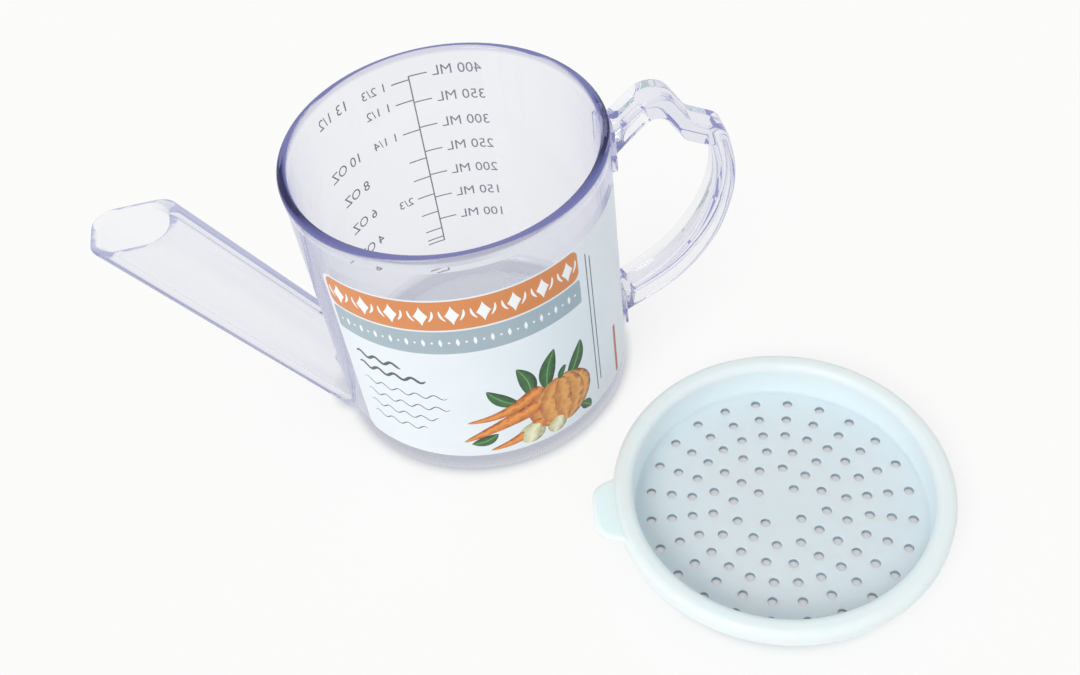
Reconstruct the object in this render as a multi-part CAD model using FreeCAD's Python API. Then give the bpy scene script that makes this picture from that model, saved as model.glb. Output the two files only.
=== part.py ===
import FreeCAD, Part
import math
import os
from FreeCAD import Vector

# Fat separating jug: a clear moulded cup with a spout that draws from the floor of the cup, a welded
# handle, a printed wrap label and a loose strainer lid that lies on the table beside the cup.
# Millimetres. Origin at the centre of the foot ring on the table, +Z up, +X towards the handle,
# -X towards the spout, -Y towards the printed front.

# Cup
CUP_HEIGHT = 87.0
RIM_RADIUS = 44.0  # outside of the bead round the rim
BEAD_PROUD = 0.3  # bead beyond the wall
BEAD_HEIGHT = 2.6
RIM_ROUNDING = 1.1
WALL = 2.45
FLOOR = 2.6
FLOOR_ROUNDING = 3.0
BASE_ROUNDING = 2.5
FOOT_WIDTH = 4.0
FOOT_DEPTH = 1.2  # recess under the floor, inside the foot ring

# Port through the cup wall, where the spout draws from the floor
PORT_WIDTH = 12.0
PORT_HEIGHT = 10.0
PORT_ROUNDING = 3.0

# Spout: a tube of level rounded sections, whose far side is measured out from the cup's wall
SPOUT_WALL = 2.0
SPOUT_DEPTH = 22.9  # from the near side to the far side, measured level
SPOUT_ROUNDING = 6.0
SPOUT_FOOT_HEIGHT = 0.8
SPOUT_FOOT_OUT = 3.3
SPOUT_FOOT_WIDTH = 17.0
SPOUT_MOUTH_DROP = 6.0  # mouth below the rim
SPOUT_MOUTH_OUT = 51.0
SPOUT_MOUTH_WIDTH = 19.0
SPOUT_LIP = 0.8  # bevel that thins the lip

# Handle: a strap, given by the corners of its side view and how far each is rounded. A corner of the
# thumb rest is (out from the wall, below the top of the upper pad, rounding). A corner of the bow is
# (out from the wall, above the bottom of the lower pad, rounding). So each end follows its own pad.
HANDLE_WIDTH = 10.0
HANDLE_EDGE = 1.2  # bevel of the strap's long edges
HANDLE_FLANGE = 1.7  # strap left above and below the side flutes
HANDLE_WEB = 3.6  # strap left between the side flutes
ROOT_DEPTH = 2.0  # how far the strap runs into the wall before it is trimmed
THUMB_OUTER = ((-ROOT_DEPTH, 3.0, 0), (13.8, -10.7, 7.0), (22.8, 3.7, 5.0), (32.5, 9.0, 6.0),
               (36.1, 25.4, 40.0))
BOW_OUTER = ((31.1, 29.5, 45.0), (19.0, 13.5, 40.0), (-ROOT_DEPTH, 3.2, 0))
THUMB_INNER = ((-ROOT_DEPTH, 11.8, 0), (13.3, -2.5, 4.2), (20.6, 9.1, 4.0), (28.3, 13.4, 1.5),
               (30.4, 24.9, 30.0))
BOW_INNER = ((25.5, 35.5, 45.0), (15.0, 21.6, 40.0), (-ROOT_DEPTH, 12.2, 0))
FLUTE_START = 3.0  # flutes start this far from the wall
THUMB_FLUTE_REACH = 10.5  # end of the short flute under the thumb rest
BOW_FLUTE_DROP = 11.4  # top of the long flute in the bow, below the top of the upper pad

# Pads that spread the handle's ends on the wall, and the bosses that locate them
PAD_WIDTH = 14.0
PAD_THICKNESS = 1.5
PAD_ROUNDING = 3.0
PAD_HEIGHT = 14.0
UPPER_PAD_DROP = 4.6  # top of the upper pad, below the rim
LOWER_PAD_BOTTOM = 7.0
BOSS_RADIUS = 3.0
BOSS_DEPTH = 1.2
BOSS_CLEARANCE = 0.1

# Wrap label
LABEL_THICKNESS = 0.12
LABEL_BOTTOM = 8.0
LABEL_DROP = 14.0  # top of the label, below the rim
LABEL_START = -149.0  # degrees round the cup from the handle
LABEL_END = -17.0
LABEL_ROUNDING = 3.0

# Strainer lid
LID_HEIGHT = 12.8
LID_WALL = 1.3
LID_FLOOR = 1.4
LID_ROOF = 1.4
LID_ROUNDING = 2.0  # of both edges of the rolled rim
PLUG_ROUNDING = 1.4  # of the edge round the floor
PLUG_CLEARANCE = 0.15  # between the plug and the cup's mouth
SKIRT_HEIGHT = 5.2
SKIRT_WALL = 1.15
SKIRT_CLEARANCE = 0.15  # between the skirt and the cup's bead
HOLE_RADIUS = 1.35
HOLE_SIDES = 8  # flats round each hole, few because the holes are many
HOLE_MARGIN = 4.4  # from the inside of the wall to the outermost ring of holes
HOLE_RING_STEP = 5.7
HOLE_COUNTS = (24, 24, 24, 16, 12, 4)  # from the outermost ring inwards
HALF_TURNED = (12, 4)  # rings with these counts are turned by half a step
SPOKE_TURN = -2.3  # first spoke of holes, degrees from the middle of the tab
TAB_REACH = 5.7  # beyond the skirt
TAB_WIDTH = 16.4
TAB_ROUNDING = 6.5
TAB_ROOT_ROUNDING = 2.0
TAB_THICKNESS = 2.2
TAB_DROP = 0.7  # tab below the top of the lid

# Where the lid lies on the table
LID_GAP = 14.3  # between the cup's rim and the lid
LID_DIRECTION = -48.7  # degrees round the cup from the handle
LID_TURN = 174.3  # direction of the tab

# Worked out from the sizes above
WALL_RADIUS = RIM_RADIUS - BEAD_PROUD
MOUTH_RADIUS = WALL_RADIUS - WALL
FLOOR_TOP = FOOT_DEPTH + FLOOR
SPOUT_MOUTH_HEIGHT = CUP_HEIGHT - SPOUT_MOUTH_DROP
UPPER_PAD_TOP = CUP_HEIGHT - UPPER_PAD_DROP
UPPER_PAD_MIDDLE = UPPER_PAD_TOP - PAD_HEIGHT / 2
LOWER_PAD_MIDDLE = LOWER_PAD_BOTTOM + PAD_HEIGHT / 2
PLUG_RADIUS = MOUTH_RADIUS - PLUG_CLEARANCE
BASIN_RADIUS = PLUG_RADIUS - LID_WALL
SKIRT_INSIDE = RIM_RADIUS + SKIRT_CLEARANCE
SKIRT_OUTSIDE = SKIRT_INSIDE + SKIRT_WALL

CENTRE = Vector(0, 0, 0)
AXIS = Vector(0, 0, 1)
BEYOND = 2.0  # how far cutting shapes run past what they cut
SAME = 1e-6  # points nearer than this are one point
FLAT = 1.5  # a faceted corner gets one narrow flat for each so much rounding
SPOUT_CORNER_SIDES = 4  # and each of the spout's corners so many, at every height


def upright(radius, height):
    """Place in the half plane that is turned round the axis."""
    return Vector(radius, 0, height)


def roundings(corners):
    """Start, middle and end of the arc that rounds each flat corner (u, v, rounding).

    Where two arcs would run into each other between their corners, they share the room."""
    points = [Vector(u, v, 0) for u, v, rounding in corners]
    runs = [point - before for before, point in zip(points[-1:] + points, points)]
    ways = list(zip(runs, runs[1:] + runs[:1]))
    halves = [(-come).getAngle(go) / 2 for come, go in ways]
    reaches = [rounding / math.tan(half) for (u, v, rounding), half in zip(corners, halves)]
    rooms = [run.Length / max(before + reach, SAME)
             for run, before, reach in zip(runs, reaches[-1:] + reaches, reaches)]
    arcs = []
    for i, (corner, (come, go)) in enumerate(zip(points, ways)):
        reach = reaches[i] * min(1, rooms[i], rooms[(i + 1) % len(rooms)])
        back, ahead = -come.normalize(), go.normalize()
        depth = reach * (1 - math.sin(halves[i])) / math.cos(halves[i])
        middle = corner + (back + ahead).normalize() * depth
        arcs.append((corner + back * reach, middle, corner + ahead * reach))
    return arcs


def smooth_wire(corners, place):
    """Closed wire round the corners with true arcs, put into space by place(u, v)."""
    arcs = [[place(p.x, p.y) for p in arc] for arc in roundings(corners)]
    edges = []
    for i, (start, middle, end) in enumerate(arcs):
        if (end - start).Length > SAME:
            edges.append(Part.Arc(start, middle, end).toShape())
        following = arcs[(i + 1) % len(arcs)][0]
        if (following - end).Length > SAME:
            edges.append(Part.makeLine(end, following))
    return Part.Wire(edges)


def flat_points(corners, place, flats=0):
    """Points round the same corners, with that many narrow flats in place of each arc.

    Without a number, an arc gets one flat for each FLAT of its rounding."""
    points = []
    for (start, middle, end), (u, v, rounding) in zip(roundings(corners), corners):
        if rounding > 0:
            arc = Part.Arc(start, middle, end).toShape()
            points += arc.discretize(1 + (flats or math.ceil(rounding / FLAT)))
        else:
            points.append(start)
    return [place(p.x, p.y) for p in points]


def closed(points):
    """Flat face inside a closed run of points."""
    return Part.Face(Part.makePolygon(points + points[:1]))


def turned(corners):
    """Solid turned round the Z axis from rounded corners (radius, height, rounding)."""
    return closed(flat_points(corners, upright)).revolve(CENTRE, AXIS, 360)


def flat_sided(low, high):
    """Solid with flat sides between two level outlines that have as many points each."""
    faces = [closed(low), closed(high)]
    for i in range(len(low)):
        faces.append(closed([low[i - 1], low[i], high[i], high[i - 1]]))
    return Part.Solid(Part.Shell(faces))


def plate(middle, height, width, rounding, start, reach):
    """Rounded plate across X, centred on a height, that reaches along X from start."""
    y = width / 2
    low, high = middle - height / 2, middle + height / 2
    corners = [(-y, low, rounding), (y, low, rounding), (y, high, rounding), (-y, high, rounding)]
    outline = flat_points(corners, lambda across, up: Vector(start, across, up))
    return closed(outline).extrude(Vector(reach, 0, 0))


# ---------------------------------------------------------------- cup

def cup_outer_corners():
    """Outside of the cup from the foot to the rim."""
    bead_bottom = CUP_HEIGHT - BEAD_HEIGHT
    return [(WALL_RADIUS, 0, BASE_ROUNDING),
            (WALL_RADIUS, bead_bottom - BEAD_PROUD, 0),
            (RIM_RADIUS, bead_bottom, 0),
            (RIM_RADIUS, CUP_HEIGHT, RIM_ROUNDING)]


def cup_outside():
    """The cup as if it were full, which trims everything that is welded to its wall."""
    return turned([(0, 0, 0)] + cup_outer_corners() + [(0, CUP_HEIGHT, 0)])


def cup_shell():
    """Foot ring, wall, bead and rounded rim in one turned section."""
    foot_inside = WALL_RADIUS - BASE_ROUNDING - FOOT_WIDTH
    under = [(0, FOOT_DEPTH, 0), (foot_inside - FOOT_DEPTH, FOOT_DEPTH, 0), (foot_inside, 0, 0)]
    inner = [(MOUTH_RADIUS, CUP_HEIGHT, RIM_ROUNDING),
             (MOUTH_RADIUS, FLOOR_TOP, FLOOR_ROUNDING),
             (0, FLOOR_TOP, 0)]
    return turned(under + cup_outer_corners() + inner)


def port():
    """Way through the wall at the floor, inside the foot of the spout."""
    inside = MOUTH_RADIUS - FLOOR_ROUNDING - BEYOND
    reach = inside - WALL_RADIUS - BEYOND
    return plate(FLOOR_TOP + PORT_HEIGHT / 2, PORT_HEIGHT, PORT_WIDTH, PORT_ROUNDING, -inside, reach)


def bosses(grow):
    """Round bosses on the handle's pads that reach into the wall; grown, they are their pockets."""
    start = WALL_RADIUS - BOSS_DEPTH - grow
    reach = BOSS_DEPTH + grow + PAD_THICKNESS / 2
    pair = [Part.makeCylinder(BOSS_RADIUS + grow, reach, Vector(start, 0, middle), Vector(1, 0, 0))
            for middle in (UPPER_PAD_MIDDLE, LOWER_PAD_MIDDLE)]
    return pair[0].fuse(pair[1])


def cup_body():
    """Cup shell with its port and the pockets for the handle's bosses."""
    return cup_shell().cut(port()).cut(bosses(BOSS_CLEARANCE))


# ---------------------------------------------------------------- spout

def spout_section(height, inset, level=None):
    """Level outline of the leaning tube at a height, moved in by inset square to its walls.

    With a level, the outline of that height is carried there straight up."""
    rise = SPOUT_MOUTH_HEIGHT - SPOUT_FOOT_HEIGHT
    lean = SPOUT_MOUTH_OUT - SPOUT_FOOT_OUT
    share = (height - SPOUT_FOOT_HEIGHT) / rise
    level_inset = inset * math.hypot(rise, lean) / rise
    far = WALL_RADIUS + SPOUT_FOOT_OUT + lean * share
    near = far - SPOUT_DEPTH
    y = (SPOUT_FOOT_WIDTH + (SPOUT_MOUTH_WIDTH - SPOUT_FOOT_WIDTH) * share) / 2 - inset
    rounding = SPOUT_ROUNDING - inset
    corners = [(-near - level_inset, -y, rounding), (-near - level_inset, y, rounding),
               (-far + level_inset, y, rounding), (-far + level_inset, -y, rounding)]
    return flat_points(corners, lambda out, across: Vector(out, across, level or height),
                       SPOUT_CORNER_SIDES)


def spout():
    """Open leaning tube with a bevelled lip, saddled on the cup wall over the port."""
    top = SPOUT_MOUTH_HEIGHT
    neck = top - SPOUT_LIP
    tube = flat_sided(spout_section(SPOUT_FOOT_HEIGHT, 0), spout_section(neck, 0))
    lip = flat_sided(spout_section(neck, 0), spout_section(neck, SPOUT_LIP, top))
    channel = flat_sided(spout_section(SPOUT_FOOT_HEIGHT + SPOUT_WALL, SPOUT_WALL),
                         spout_section(top + BEYOND, SPOUT_WALL))
    return tube.fuse(lip).cut(channel).cut(cup_outside())


# ---------------------------------------------------------------- handle

def strap_face():
    """Side view of the strap: the rise to the thumb rest, the dip behind it and the long bow."""
    def thumb(corners):
        return [(WALL_RADIUS + out, UPPER_PAD_TOP - drop, rounding) for out, drop, rounding in corners]

    def bow(corners):
        return [(WALL_RADIUS + out, LOWER_PAD_BOTTOM + rise, rounding) for out, rise, rounding in corners]

    inner = thumb(THUMB_INNER) + bow(BOW_INNER)
    return Part.Face(smooth_wire(thumb(THUMB_OUTER) + bow(BOW_OUTER) + inner[::-1], upright))


def strap():
    """The strap at full width, its long edges bevelled."""
    body = strap_face().extrude(Vector(0, HANDLE_WIDTH, 0))
    body.translate(Vector(0, -HANDLE_WIDTH / 2, 0))
    root = WALL_RADIUS - ROOT_DEPTH / 2
    long_edges = [e for e in body.Edges if e.BoundBox.YLength < SAME and e.BoundBox.XMax > root]
    return body.makeChamfer(HANDLE_EDGE, long_edges)


def flutes():
    """Pockets in both sides that leave the strap an I section and end short of its roots."""
    core = strap_face().makeOffset2D(-HANDLE_FLANGE)
    start = WALL_RADIUS + FLUTE_START
    split = UPPER_PAD_TOP - BOW_FLUTE_DROP
    thumb = Part.makeBox(THUMB_FLUTE_REACH - FLUTE_START, 2 * HANDLE_WIDTH, CUP_HEIGHT,
                         Vector(start, -HANDLE_WIDTH, split))
    bow = Part.makeBox(CUP_HEIGHT, 2 * HANDLE_WIDTH, split, Vector(start, -HANDLE_WIDTH, 0))
    pockets = []
    for side in (1, -1):
        pocket = core.extrude(Vector(0, side * HANDLE_WIDTH, 0))
        pocket.translate(Vector(0, side * HANDLE_WEB / 2, 0))
        pockets += [pocket.common(thumb), pocket.common(bow)]
    return Part.makeCompound(pockets)


def pads():
    """Two plates that follow the wall under the ends of the strap."""
    skin = Part.makeCylinder(WALL_RADIUS + PAD_THICKNESS, CUP_HEIGHT)
    plates = [plate(middle, PAD_HEIGHT, PAD_WIDTH, PAD_ROUNDING, 0, 2 * RIM_RADIUS)
              for middle in (UPPER_PAD_MIDDLE, LOWER_PAD_MIDDLE)]
    return plates[0].fuse(plates[1]).common(skin)


def handle():
    """Fluted strap on its pads, trimmed to the wall, with its locating bosses."""
    grip = strap().cut(flutes()).fuse(pads()).cut(cup_outside())
    return grip.fuse(bosses(0))


# ---------------------------------------------------------------- label

def wrap_label():
    """Thin printed skin on the wall, over part of the way round, with rounded corners."""
    top = CUP_HEIGHT - LABEL_DROP
    skin_radius = WALL_RADIUS + LABEL_THICKNESS
    section = closed([upright(WALL_RADIUS, LABEL_BOTTOM), upright(WALL_RADIUS, top),
                      upright(skin_radius, top), upright(skin_radius, LABEL_BOTTOM)])
    section.rotate(CENTRE, AXIS, LABEL_START)
    skin = section.revolve(CENTRE, AXIS, LABEL_END - LABEL_START)
    corners = [e for e in skin.Edges if e.Length < 2 * LABEL_THICKNESS]
    return skin.makeFillet(LABEL_ROUNDING, corners)


# ---------------------------------------------------------------- strainer lid

def lid_bowl():
    """Turned section of the lid: floor, plug wall, rolled rim and skirt."""
    skirt_bottom = LID_HEIGHT - SKIRT_HEIGHT
    under_roof = LID_HEIGHT - LID_ROOF
    return turned([(0, 0, 0),
                   (PLUG_RADIUS, 0, PLUG_ROUNDING),
                   (PLUG_RADIUS, under_roof, 0),
                   (SKIRT_INSIDE, under_roof, 0),
                   (SKIRT_INSIDE, skirt_bottom, 0),
                   (SKIRT_OUTSIDE, skirt_bottom, 0),
                   (SKIRT_OUTSIDE, LID_HEIGHT, LID_ROUNDING),
                   (BASIN_RADIUS, LID_HEIGHT, LID_ROUNDING),
                   (BASIN_RADIUS, LID_FLOOR, 0),
                   (0, LID_FLOOR, 0)])


def tab():
    """Rounded pull tab that grows out of the skirt with a fillet on each side."""
    root = SKIRT_INSIDE + SKIRT_WALL / 2
    tip = SKIRT_OUTSIDE + TAB_REACH
    y = TAB_WIDTH / 2
    shoulder = math.sqrt(SKIRT_OUTSIDE ** 2 - y ** 2)
    flare = y + 2 * TAB_ROOT_ROUNDING
    half = [(root * math.cos(flare / root), root * math.sin(flare / root), 0),
            (shoulder, y, TAB_ROOT_ROUNDING), (tip, y, TAB_ROUNDING)]
    corners = [(x, -across, rounding) for x, across, rounding in half] + half[::-1]
    bottom = LID_HEIGHT - TAB_DROP - TAB_THICKNESS
    outline = smooth_wire(corners, lambda x, across: Vector(x, across, bottom))
    return Part.Face(outline).extrude(Vector(0, 0, TAB_THICKNESS)).cut(Part.makeCylinder(root, LID_HEIGHT))


def drill():
    """Flat-sided cutter for one hole, as large in area as the round hole."""
    step = 2 * math.pi / HOLE_SIDES
    corner = HOLE_RADIUS * math.sqrt(step / math.sin(step))
    points = [Vector(corner * math.cos(i * step), corner * math.sin(i * step), -BEYOND)
              for i in range(HOLE_SIDES)]
    return closed(points).extrude(Vector(0, 0, LID_FLOOR + 2 * BEYOND))


def strainer_holes():
    """Rings of holes on shared spokes; a ring too tight for its holes is left out."""
    cutter = drill()
    holes = []
    for ring, count in enumerate(HOLE_COUNTS):
        radius = BASIN_RADIUS - HOLE_MARGIN - ring * HOLE_RING_STEP
        if 2 * math.pi * radius < 3 * HOLE_RADIUS * count:
            break
        turn = SPOKE_TURN + (180 / count if count in HALF_TURNED else 0)
        for i in range(count):
            hole = cutter.translated(Vector(radius, 0, 0))
            holes.append(hole.rotated(CENTRE, AXIS, turn + 360 * i / count))
    return Part.makeCompound(holes)


def strainer_lid():
    """The lid on the table beside the cup, its tab turned towards the spout's side."""
    lid = lid_bowl().fuse(tab()).cut(strainer_holes())
    reach = RIM_RADIUS + LID_GAP + SKIRT_OUTSIDE
    direction = math.radians(LID_DIRECTION)
    lid.rotate(CENTRE, AXIS, LID_TURN)
    lid.translate(Vector(reach * math.cos(direction), reach * math.sin(direction), 0))
    return lid


PARTS = {
    "cup_body": cup_body,
    "spout": spout,
    "handle": handle,
    "wrap_label": wrap_label,
    "strainer_lid": strainer_lid,
}

os.makedirs("parts", exist_ok=True)
for name, make in PARTS.items():
    make().exportStep("parts/%s.step" % name)
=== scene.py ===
import math

import bmesh
import bpy
import numpy as np
from mathutils import Matrix, Vector


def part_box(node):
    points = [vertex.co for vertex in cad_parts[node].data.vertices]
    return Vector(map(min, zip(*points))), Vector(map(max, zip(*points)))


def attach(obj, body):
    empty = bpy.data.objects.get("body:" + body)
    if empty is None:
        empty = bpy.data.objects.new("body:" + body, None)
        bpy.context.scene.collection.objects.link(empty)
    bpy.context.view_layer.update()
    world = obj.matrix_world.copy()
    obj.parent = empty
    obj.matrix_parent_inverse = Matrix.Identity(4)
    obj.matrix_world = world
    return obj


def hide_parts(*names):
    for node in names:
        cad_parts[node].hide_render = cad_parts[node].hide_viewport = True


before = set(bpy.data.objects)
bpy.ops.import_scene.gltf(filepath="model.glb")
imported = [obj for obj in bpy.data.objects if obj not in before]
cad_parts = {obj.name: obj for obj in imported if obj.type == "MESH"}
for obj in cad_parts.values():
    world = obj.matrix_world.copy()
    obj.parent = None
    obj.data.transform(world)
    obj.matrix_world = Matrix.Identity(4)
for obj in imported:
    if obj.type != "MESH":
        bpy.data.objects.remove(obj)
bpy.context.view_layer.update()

# Looks of the fat separating jug. Sizes are in millimetres and angles in degrees round the cup's axis
# from the handle; solid_mesh turns millimetres into Blender's metres.
MM = 0.001
MERGE = 0.004  # points nearer than this are one point
CREASE = 32  # degrees between two faces past which their edge stays sharp
ROUND_STEPS = 192  # flats round the cup, the lid and what is cut to them
PAST = 5.0  # cutting tools reach this far past what they cut
SEATED = 0.1  # welded pieces reach this far into the cup wall
AIR = 0.02  # hair's breadth between the clear wall and what is stuck or printed on it


def node_box(node):
    """Lowest and highest corner of a node, in millimetres."""
    return [np.array(corner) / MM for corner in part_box(node)]


# Cup
CUP_HEIGHT = node_box("cup_body")[1][2]
RIM_RADIUS = node_box("cup_body")[1][0]
BEAD_PROUD = 0.3
BEAD_HEIGHT = 2.6
BEAD_FADE = 2.0
BEAD_ROUNDINGS = (2.0, 1.5)  # where the bead's slope starts and where it ends
RIM_ROUNDING = 1.1
WALL = 2.45
FLOOR = 2.6
FLOOR_ROUNDING = 3.0
BASE_ROUNDING = 2.5
FOOT_WIDTH = 4.0
FOOT_DEPTH = 1.2
FOOT_ROUNDING = 0.4
RECESS_ROUNDING = 0.8
PORT = (12.0, 10.0, 3.0)  # width, height and rounding of the way into the spout
WALL_RADIUS = RIM_RADIUS - BEAD_PROUD
MOUTH_RADIUS = WALL_RADIUS - WALL
FLOOR_TOP = FOOT_DEPTH + FLOOR

# Spout
SPOUT_WALL = 2.0
SPOUT_DEPTH = 22.9
SPOUT_FOOT = (0.8, 3.3, 17.0)  # height, way out from the wall, width
SPOUT_MOUTH = (CUP_HEIGHT - 6.0, 51.0, 19.0)
SPOUT_LIP = 0.8
SPOUT_OUTSIDE = (5.2, 6.4)  # roundings near the cup and far from it
SPOUT_INSIDE = (6.9, 5.0)
SPOUT_FLAT = 0.1  # least half width of the flat between two roundings

# Handle: corners of its side view, as (out from the wall, below the top of the upper pad, rounding)
# for the thumb rest and (out from the wall, above the bottom of the lower pad, rounding) for the bow
HANDLE_WIDTH = 10.0
HANDLE_EDGE = 1.15
HANDLE_FLANGE = 1.7
HANDLE_WEB = 3.6
FLUTE_EDGE = 0.5
FLUTE_END = 1.2
FLUTE_START = 3.0
LEAST_FLUTE = 0.001  # share of its depth that a flute keeps where it has faded out
THUMB_FLUTE_REACH = 10.5
BOW_FLUTE_DROP = 11.4
ROOT_DEPTH = 2.0
THUMB_OUTER = ((-ROOT_DEPTH, 3.0, 0), (13.8, -10.7, 7.0), (22.8, 3.7, 5.0), (32.5, 9.0, 6.0),
               (36.1, 25.4, 40.0))
BOW_OUTER = ((31.1, 29.5, 45.0), (19.0, 13.5, 40.0), (-ROOT_DEPTH, 3.2, 0))
THUMB_INNER = ((-ROOT_DEPTH, 11.8, 0), (13.3, -2.5, 4.2), (20.6, 9.1, 4.0), (28.3, 13.4, 1.5),
               (30.4, 24.9, 30.0))
BOW_INNER = ((25.5, 35.5, 45.0), (15.0, 21.6, 40.0), (-ROOT_DEPTH, 12.2, 0))
PAD = (14.0, 14.0, 3.0, 1.5)  # width, height, rounding and thickness
PAD_EDGE = 0.5
UPPER_PAD_TOP = CUP_HEIGHT - 4.6
LOWER_PAD_BOTTOM = 7.0

# Label
LABEL_THICKNESS = 0.12
LABEL_BOTTOM = 8.0
LABEL_TOP = CUP_HEIGHT - 14.0
LABEL_START = -149.0
LABEL_END = -17.0
LABEL_ROUNDING = 3.0
PRINT_THICKNESS = 0.02
INK_EDGE = 0.05  # width over which film and ink thin at their border
PANEL_START = -147.4  # the coloured bands
PANEL_END = -52.6
ORANGE_BAND = (62.0, 72.5, 2.6)  # bottom, top and rounding
SLATE_BAND = (52.8, 61.4, 0.8)
RULES = ((-48.6, 13.0, 68.0), (-46.4, 16.0, 66.0))  # direction, bottom and top of the thin dark rules
RULE_WIDTH = 0.4
RULE_ROUNDING = 0.15
RED_BAR = (-34.6, -32.6, 9.0, 29.0, 0.4)  # start, end, bottom, top and rounding
LOZENGE_COUNT = 9  # along the orange band
LOZENGE = (3.7, 2.5)  # half height and half width
SIDE_ARC = (1.7, 3.1, 2.1, 0.45, 0.5)  # way out at its foot and its top, half height, half width and sag
DOT_COUNT = 16  # along the slate band, with a dash between each two
DOT = 0.42  # half its width
DASH = (1.5, 0.62)  # half height and half width
WAVES = ((45.5, 14.5, 0.55), (41.0, 21.0, 0.55), (34.5, 26.0, 0.2), (29.5, 26.0, 0.2), (24.5, 22.0, 0.2),
         (19.5, 18.0, 0.2))  # height, length and half width
WAVE_LENGTH = 5.2
WAVE_RISE = 0.8
WAVE_MARGIN = 4.0

# The label's picture: places are millimetres along the wall from the picture's middle and up from the table
PICTURE_MIDDLE = -72.0
STACK = 0.4  # how much higher each strip of one ink is than the one before, in thicknesses of print
LEAVES = (((-8, 27), (-17, 36), 2.6, 0.8, 1.0), ((-5, 28), (-8, 42), 2.7, 0.8, -1.2),
          ((0, 28), (3.5, 43.5), 2.8, 0.8, 1.2), ((6, 27), (12.5, 40), 2.6, 0.8, -1.0),
          ((-16, 17), (-24, 13.5), 2.2, 0.8, 0.8), ((10, 14), (14, 9.4), 1.9, 0.8, 0.4))
VEIN = 0.16  # half its width
SQUASH_MIDDLE = (4.4, 21.5)
SQUASH_RISE = 9.8
SQUASH_LOBES = ((-8.2, 3.0), (7.6, 2.9), (-4.9, 3.9), (4.7, 3.9), (0, 4.1))  # way out and half width
STEM = ((4.2, 30.2), (6.4, 34.6), 1.1, 0.4, 0.5)
CARROTS = (((-1.5, 31.0), (-24.0, 23.0), 3.1, 1.4), ((-2.5, 24.5), (-26.0, 14.5), 3.5, -1.0),
           ((-2.0, 17.5), (-19.0, 9.9), 3.0, 0.9))
ONIONS = (((-8.0, 9.3), (-4.8, 17.4), 4.1, 0.5), ((0.2, 9.2), (2.6, 15.4), 3.2, 0.5))

# Strainer lid
LID_LOW, LID_HIGH = node_box("strainer_lid")
LID_HEIGHT = LID_HIGH[2]
SKIRT_OUTSIDE = (LID_HIGH[1] - LID_LOW[1]) / 2
LID_PLACE = (LID_HIGH[0] - SKIRT_OUTSIDE, LID_LOW[1] + SKIRT_OUTSIDE, 0)
LID_TURN = 174.3
LID_CLEARANCE = 0.15
LID_WALL = 1.3
LID_FLOOR = 1.4
LID_ROOF = 1.4
LID_ROUNDING = 2.2
ROOF_ROUNDING = 0.3
BASIN_ROUNDING = 0.9
PLUG_RADIUS = MOUTH_RADIUS - LID_CLEARANCE
PLUG_ROUNDING = 1.4
SKIRT_HEIGHT = 5.2
SKIRT_WALL = 1.15
SKIRT_ROUNDING = 0.4
HOLE_RADIUS = 1.35
HOLE_STEPS = 28
HOLE_MARGIN = 4.4
HOLE_RING_STEP = 5.7
HOLE_RINGS = ((24, 0), (24, 0), (24, 0), (16, 0), (12, 15), (4, 45))  # holes and turn, outermost first
SPOKE_TURN = -2.3
TAB_REACH = 5.7
TAB_SPREAD = 13.3  # degrees from its middle to where it fades into the skirt
TAB_SINK = 0.2
TAB_THICKNESS = 2.2
TAB_DROP = 0.7

# Measuring scale, printed on the outside of the far wall and read from there
BORE_AREA = math.pi * MOUTH_RADIUS ** 2
SCALE_LINE = 96.2  # direction of the upright line
SCALE_INK = 0.42
SCALE_FOOT = 50  # millilitres where the line ends in a short foot
TICK = 5.6
FIGURE_SIZE = 4.9
SMALL_FIGURE_SIZE = 4.2
FIGURE_GAP = 1.4
OUNCES_TURN = 26.5  # from the line to the column of ounces
INK_THICKNESS = 0.03
MILLILITRES = (400, 350, 300, 250, 200, 150, 100)
CUP_MARKS = ((394, "1 2/3"), (355, "1 1/2"), (296, "1 1/4"), (237, ""), (197, ""), (158, "2/3"), (118, ""),
             (79, ""), (59, ""))
OUNCES = ((398, "13 1/2"), (296, "10 OZ"), (237, "8 OZ"), (177, "6 OZ"), (118, "4 OZ"))

# Clear plastic
CLEAR_INDEX = 1.3
CLEAR_COLOURS = ((0.975, 0.978, 0.985), (0.99, 0.99, 1.0))
EDGE_TINT = (0.36, 0.37, 0.60)
EDGE_TINT_RISE = (4.0, 0.8)  # power of its rise towards a grazing view, and its share there
RIM_TINT = (0.24, 0.24, 0.48)
RIM_TINT_RISE = (CUP_HEIGHT - 1.6, CUP_HEIGHT - 0.6, 0.5)  # where it starts and ends, and its share there
THICK_COLOUR = (0.40, 0.42, 0.62)
CUP_DENSITY = 50.0  # how strongly the thickness takes up light
SPOUT_DENSITY = 30.0
HANDLE_DENSITY = 30.0
DEEP_VIOLET_GLOW = (0.40, 0.41, 0.70)  # painted glow that ends light trapped in the cup and the handle
PALE_VIOLET_GLOW = (0.72, 0.74, 0.88)  # painted glow that ends light trapped in the spout
TRAPPED_AFTER = 2.5  # more mirrorings than this, counted in whole ones
LAMP_TINT = (0.975, 0.975, 0.985)

# Aqua plastic of the lid
AQUA_INDEX = 1.42
# Floor colours: tone that varies at random, darkened overall by painted shade of the table's shadow under
# the thin floor
AQUA_FLOOR_PAINTED_SHADE = ((0.71, 0.82, 0.94), (0.76, 0.86, 0.97))
# Painted shade on the walls of the holes, below the floor's top
AQUA_HOLES_PAINTED_SHADE = (0.40, 0.50, 0.58)
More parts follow.
